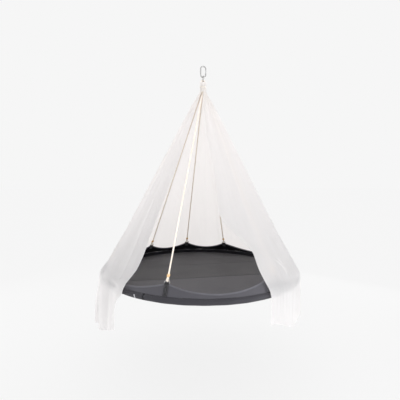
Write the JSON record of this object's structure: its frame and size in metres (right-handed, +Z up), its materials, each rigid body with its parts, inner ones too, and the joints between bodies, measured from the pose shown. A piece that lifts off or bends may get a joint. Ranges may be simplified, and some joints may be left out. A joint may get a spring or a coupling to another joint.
{
  "type": "tipi hammock",
  "caption": "Round hanging bed with a scalloped cloth wall on a bent pole ring, ropes running up to a snap hook, and a white cloth canopy open at the front.",
  "frame": {"origin": "hang point, the top of the snap hook's inner bow, where the hook hangs on its support", "axes": "+Z up along the hanging line, -Y out of the entrance, +X to the right as seen from in front of the entrance"},
  "size_m": [1.5611, 1.5313, 1.937],
  "materials": {
    "charcoal_cloth": "matte woven",
    "white_cloth": "matte woven",
    "white_rope": "laid rope",
    "black_webbing": "ribbed webbing",
    "steel": "polished",
    "pole_aluminium": "drawn tube",
    "beech": "turned and waxed"
  },
  "bodies": {
    "hook": {"hook_body": "steel", "gate_pin": "steel"},
    "gate": {"hook_gate": "steel", "gate_plunger": "steel", "gate_spring": "steel", "gate_cap": "steel"},
    "ring": {"rigging_ring": "steel"},
    "hammock": {"bed_floor": "charcoal_cloth", "bed_wall": "charcoal_cloth", "edge_binding": "charcoal_cloth", "hem_sleeve": "charcoal_cloth", "pole_1": "pole_aluminium", "pole_2": "pole_aluminium", "pole_3": "pole_aluminium", "pole_4": "pole_aluminium", "pole_spigot_1": "steel", "pole_spigot_2": "steel", "pole_spigot_3": "steel", "pole_spigot_4": "steel", "strap_front_right": "black_webbing", "strap_side_right": "black_webbing", "strap_back_right": "black_webbing", "strap_back_middle": "black_webbing", "strap_back_left": "black_webbing", "strap_side_left": "black_webbing", "strap_front_left": "black_webbing", "rope_front_right": "white_rope", "rope_side_right": "white_rope", "rope_back_right": "white_rope", "rope_back_middle": "white_rope", "rope_back_left": "white_rope", "rope_side_left": "white_rope", "rope_front_left": "white_rope", "crown_core": "white_rope", "whipping": "white_rope", "canopy_collar": "white_cloth", "collar_tie": "white_rope", "canopy_front_right": "white_cloth", "canopy_side_right": "white_cloth", "canopy_back_right": "white_cloth", "canopy_back_middle": "white_cloth", "canopy_back_left": "white_cloth", "canopy_left": "white_cloth"},
    "d_ring_front_right": {"d_ring_front_right": "steel"},
    "d_ring_side_right": {"d_ring_side_right": "steel"},
    "d_ring_back_right": {"d_ring_back_right": "steel"},
    "d_ring_back_middle": {"d_ring_back_middle": "steel"},
    "d_ring_back_left": {"d_ring_back_left": "steel"},
    "d_ring_side_left": {"d_ring_side_left": "steel"},
    "d_ring_front_left": {"d_ring_front_left": "steel"},
    "stop_front_right": {"stop_front_right": "beech"},
    "stop_side_right": {"stop_side_right": "beech"},
    "stop_back_right": {"stop_back_right": "beech"},
    "stop_back_middle": {"stop_back_middle": "beech"},
    "stop_back_left": {"stop_back_left": "beech"},
    "stop_side_left": {"stop_side_left": "beech"},
    "stop_front_left": {"stop_front_left": "beech"}
  },
  "joints": [
    {"name": "gate_hinge", "type": "hinge", "parent": "hook", "child": "gate", "pos_m": [0.02, 0, -0.052], "axis": [0, -1, 0], "range_deg": [0, 25], "stiffness_Nm_per_rad": 0.06, "springref_deg": -14.32},
    {"name": "ring_swing", "type": "hinge", "parent": "hook", "child": "ring", "pos_m": [0, 0, -0.077], "axis": [1, 0, 0], "range_deg": [-20, 20]},
    {"name": "hammock_swing", "type": "hinge", "parent": "ring", "child": "hammock", "pos_m": [0, 0, -0.1097], "axis": [0, 1, 0], "range_deg": [-15, 15]},
    {"name": "d_ring_front_right_tilt", "type": "hinge", "parent": "hammock", "child": "d_ring_front_right", "pos_m": [0.3483, -0.60327, -1.48622], "axis": [0.866, 0.5, 0], "range_deg": [-4, 4]},
    {"name": "d_ring_side_right_tilt", "type": "hinge", "parent": "hammock", "child": "d_ring_side_right", "pos_m": [0.6966, 0, -1.48622], "axis": [0, 1, 0], "range_deg": [-4, 4]},
    {"name": "d_ring_back_right_tilt", "type": "hinge", "parent": "hammock", "child": "d_ring_back_right", "pos_m": [0.3483, 0.60327, -1.48622], "axis": [-0.866, 0.5, 0], "range_deg": [-4, 4]},
    {"name": "d_ring_back_middle_tilt", "type": "hinge", "parent": "hammock", "child": "d_ring_back_middle", "pos_m": [0, 0.6966, -1.48622], "axis": [-1, 0, 0], "range_deg": [-4, 4]},
    {"name": "d_ring_back_left_tilt", "type": "hinge", "parent": "hammock", "child": "d_ring_back_left", "pos_m": [-0.3483, 0.60327, -1.48622], "axis": [-0.866, -0.5, 0], "range_deg": [-4, 4]},
    {"name": "d_ring_side_left_tilt", "type": "hinge", "parent": "hammock", "child": "d_ring_side_left", "pos_m": [-0.6966, 0, -1.48622], "axis": [0, -1, 0], "range_deg": [-4, 4]},
    {"name": "d_ring_front_left_tilt", "type": "hinge", "parent": "hammock", "child": "d_ring_front_left", "pos_m": [-0.3483, -0.60327, -1.48622], "axis": [0.866, -0.5, 0], "range_deg": [-4, 4]},
    {"name": "stop_front_right_slide", "type": "slide", "parent": "hammock", "child": "stop_front_right", "axis": [-0.2345, 0.4049, 0.8838], "range_m": [0, 0.05]},
    {"name": "stop_side_right_slide", "type": "slide", "parent": "hammock", "child": "stop_side_right", "axis": [-0.468, -0.002, 0.8837], "range_m": [0, 0.05]},
    {"name": "stop_back_right_slide", "type": "slide", "parent": "hammock", "child": "stop_back_right", "axis": [-0.2314, -0.4072, 0.8835], "range_m": [0, 0.05]},
    {"name": "stop_back_middle_slide", "type": "slide", "parent": "hammock", "child": "stop_back_middle", "axis": [0, -0.4679, 0.8838], "range_m": [0, 0.05]},
    {"name": "stop_back_left_slide", "type": "slide", "parent": "hammock", "child": "stop_back_left", "axis": [0.2314, -0.4072, 0.8835], "range_m": [0, 0.05]},
    {"name": "stop_side_left_slide", "type": "slide", "parent": "hammock", "child": "stop_side_left", "axis": [0.468, -0.002, 0.8837], "range_m": [0, 0.05]},
    {"name": "stop_front_left_slide", "type": "slide", "parent": "hammock", "child": "stop_front_left", "axis": [0.2345, 0.4049, 0.8838], "range_m": [0, 0.05]}
  ]
}
